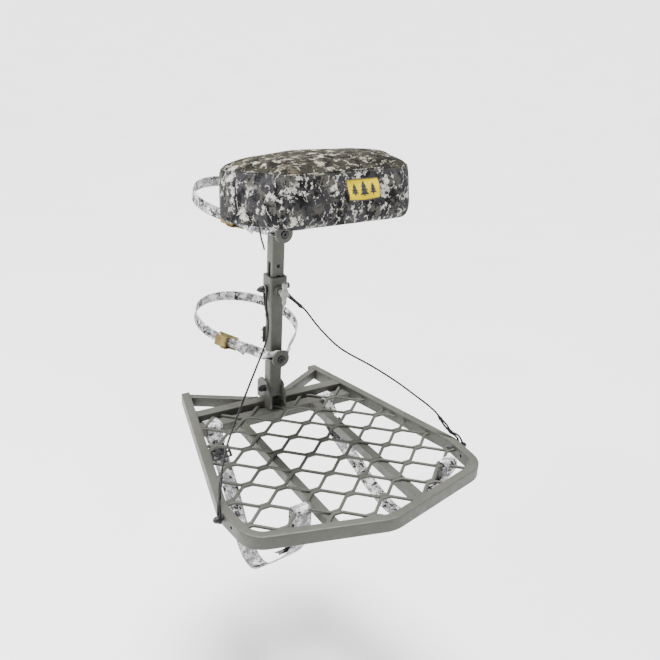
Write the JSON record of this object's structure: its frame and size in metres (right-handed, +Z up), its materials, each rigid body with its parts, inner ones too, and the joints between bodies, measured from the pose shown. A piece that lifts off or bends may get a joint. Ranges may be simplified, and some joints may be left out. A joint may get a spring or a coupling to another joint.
{
  "type": "tree stand",
  "caption": "Hang-on tree stand: folding mesh platform and flip-up padded seat on one post, with tree straps, support cables and carry straps.",
  "frame": {"origin": "midway between the platform's two rear corners, level with the top of its rim, where it stands against the tree", "axes": "+Z up along the post, -Y out from the tree towards the platform's front, +X to the right of someone who faces the tree"},
  "size_m": [0.6094, 0.7884, 0.8885],
  "materials": {
    "frame_paint": "satin grey-green powder coat",
    "black_steel": "black oxide",
    "zinc": "dull zinc plating",
    "yellow_zinc": "yellow zinc plating",
    "camo_cloth": "grey and brown camouflage print on woven polyester",
    "webbing": "grey and white camouflage print on polyester webbing",
    "black_plastic": "matte black moulding",
    "black_vinyl": "black vinyl coat"
  },
  "bodies": {
    "post": {"post": "frame_paint", "tree_bracket": "frame_paint", "lower_strap_spool": "frame_paint", "upper_strap_spool": "frame_paint", "lower_spool_bolt": "black_steel", "upper_spool_bolt": "black_steel", "lower_strap_short": "webbing", "lower_strap_long": "webbing", "upper_strap_short": "webbing", "upper_strap_long": "webbing", "lower_buckle_body": "yellow_zinc", "lower_buckle_pin": "yellow_zinc", "upper_buckle_body": "yellow_zinc", "upper_buckle_pin": "yellow_zinc", "seat_bracket_left": "frame_paint", "seat_bracket_right": "frame_paint", "seat_stop_pin": "black_steel", "seat_pivot_bolt": "black_steel", "seat_pivot_nut": "black_steel"},
    "platform": {"platform_rim": "frame_paint", "rear_crossbar": "frame_paint", "deck_crossbar": "frame_paint", "deck_mesh": "frame_paint", "v_bar_left": "frame_paint", "v_bar_right": "frame_paint", "deck_bar_left": "frame_paint", "deck_bar_right": "frame_paint", "hinge_ear_left": "frame_paint", "hinge_ear_right": "frame_paint", "platform_pivot_bolt": "black_steel", "platform_pivot_nut": "black_steel", "cable_eye_lower_left": "black_steel", "cable_eye_lower_right": "black_steel", "cable_bolt_left": "black_steel", "cable_bolt_right": "black_steel", "cable_nut_left": "black_steel", "cable_nut_right": "black_steel", "support_cable_left": "black_vinyl", "support_cable_right": "black_vinyl", "carry_strap_left": "webbing", "carry_strap_right": "webbing", "carry_buckle_rear_left": "black_plastic", "carry_buckle_front_left": "black_plastic", "carry_buckle_rear_right": "black_plastic", "carry_buckle_front_right": "black_plastic"},
    "collar": {"collar": "frame_paint", "anchor_bolt": "black_steel", "anchor_cap_nut": "black_steel", "anchor_washer_left": "zinc", "anchor_washer_right": "zinc", "cable_eye_upper_left": "black_steel", "cable_eye_upper_right": "black_steel"},
    "wing_knob": {"wing_knob": "zinc"},
    "seat": {"seat_arm_left": "frame_paint", "seat_arm_right": "frame_paint", "seat_pan": "black_plastic", "seat_cushion": "camo_cloth", "draw_cord": "black_vinyl"},
    "lower_cam": {"lower_buckle_cam": "yellow_zinc"},
    "upper_cam": {"upper_buckle_cam": "yellow_zinc"}
  },
  "joints": [
    {"name": "platform_fold", "type": "hinge", "parent": "post", "child": "platform", "pos_m": [0, -0.117, 0.034], "axis": [-1, 0, 0], "range_deg": [0, 58], "deforming": ["support_cable_left", "support_cable_right"]},
    {"name": "collar_slide", "type": "slide", "parent": "post", "child": "collar", "axis": [0, 0, 1], "range_m": [0, 0.05], "deforming": ["support_cable_left", "support_cable_right"]},
    {"name": "wing_knob_turn", "type": "hinge", "parent": "collar", "child": "wing_knob", "pos_m": [0, -0.15, 0.284], "axis": [0, -1, 0], "continuous": true},
    {"name": "seat_flip", "type": "hinge", "parent": "post", "child": "seat", "pos_m": [0, -0.15, 0.468], "axis": [-1, 0, 0], "range_deg": [0, 75]},
    {"name": "lower_cam_release", "type": "hinge", "parent": "post", "child": "lower_cam", "pos_m": [-0.09692, -0.06231, 0.1451], "axis": [0.1149, -0.1451, 0.9827], "range_deg": [0, 50], "stiffness_Nm_per_rad": 0.05, "springref_deg": -11.46},
    {"name": "upper_cam_release", "type": "hinge", "parent": "post", "child": "upper_cam", "pos_m": [-0.08531, -0.07566, 0.43877], "axis": [0.1149, -0.1451, 0.9827], "range_deg": [0, 50], "stiffness_Nm_per_rad": 0.05, "springref_deg": -11.46}
  ]
}
